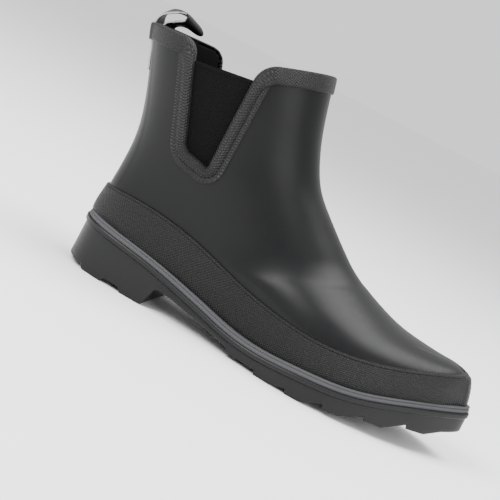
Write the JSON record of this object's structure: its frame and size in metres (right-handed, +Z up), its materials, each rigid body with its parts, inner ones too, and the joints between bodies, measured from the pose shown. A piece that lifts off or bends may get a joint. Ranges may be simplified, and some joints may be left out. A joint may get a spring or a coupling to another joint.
{
  "type": "rubber ankle rain boot",
  "caption": "Low black rubber rain boot for the right foot, with elastic side gores, textured collar trim and foxing, a rear pull strap and a lugged heeled outsole.",
  "frame": {"origin": "on the ground, at the middle of the boot's bounding box seen from above", "axes": "+X from heel to toe, +Y to the inner (medial) side of the right foot, +Z up"},
  "size_m": [0.301, 0.1022, 0.1861],
  "materials": {
    "upper_rubber": "smooth matte moulded rubber",
    "textured_rubber": "matte rubber with a fine diamond knurl",
    "outsole_rubber": "matte moulded rubber, smooth walls and finely textured lugs",
    "bead_rubber": "smooth matte rubber strip",
    "elastic": "dense woven elastic webbing",
    "lining": "brushed knitted lining",
    "strap": "coated woven tape, satin, pale cut edges",
    "stiffener": "rubber-coated canvas, matte",
    "board": "pressed fibre board, matte",
    "foam": "soft foam, matte",
    "footbed_cloth": "woven sock cloth, matte",
    "filler_rubber": "coarse sponge rubber",
    "steel": "stamped spring steel"
  },
  "bodies": {
    "boot": {"upper_shell": "upper_rubber", "heel_counter": "stiffener", "toe_puff": "stiffener", "back_seam_tape": "stiffener", "lining_backing": "lining", "lining_sock": "lining", "gore_lateral": "elastic", "gore_medial": "elastic", "gore_hem_lateral": "elastic", "gore_hem_medial": "elastic", "collar_trim_rear": "textured_rubber", "collar_trim_front": "textured_rubber", "gore_trim_lateral": "textured_rubber", "gore_trim_medial": "textured_rubber", "pull_tab_outer_leg": "strap", "pull_tab_inner_leg": "strap", "outsole": "outsole_rubber", "heel_core": "filler_rubber", "shank": "steel", "bottom_filler": "filler_rubber", "insole_board": "board", "footbed_foam": "foam", "footbed_cover": "footbed_cloth", "welt_bead": "bead_rubber", "foxing_band": "textured_rubber"},
    "pull_tab": {"pull_tab_loop": "strap"}
  },
  "joints": [
    {"name": "pull_tab_bend", "type": "hinge", "parent": "boot", "child": "pull_tab", "pos_m": [-0.14567, 0.00124, 0.1682], "axis": [0, 1, 0], "range_deg": [-85, 7], "stiffness_Nm_per_rad": 0.02}
  ]
}
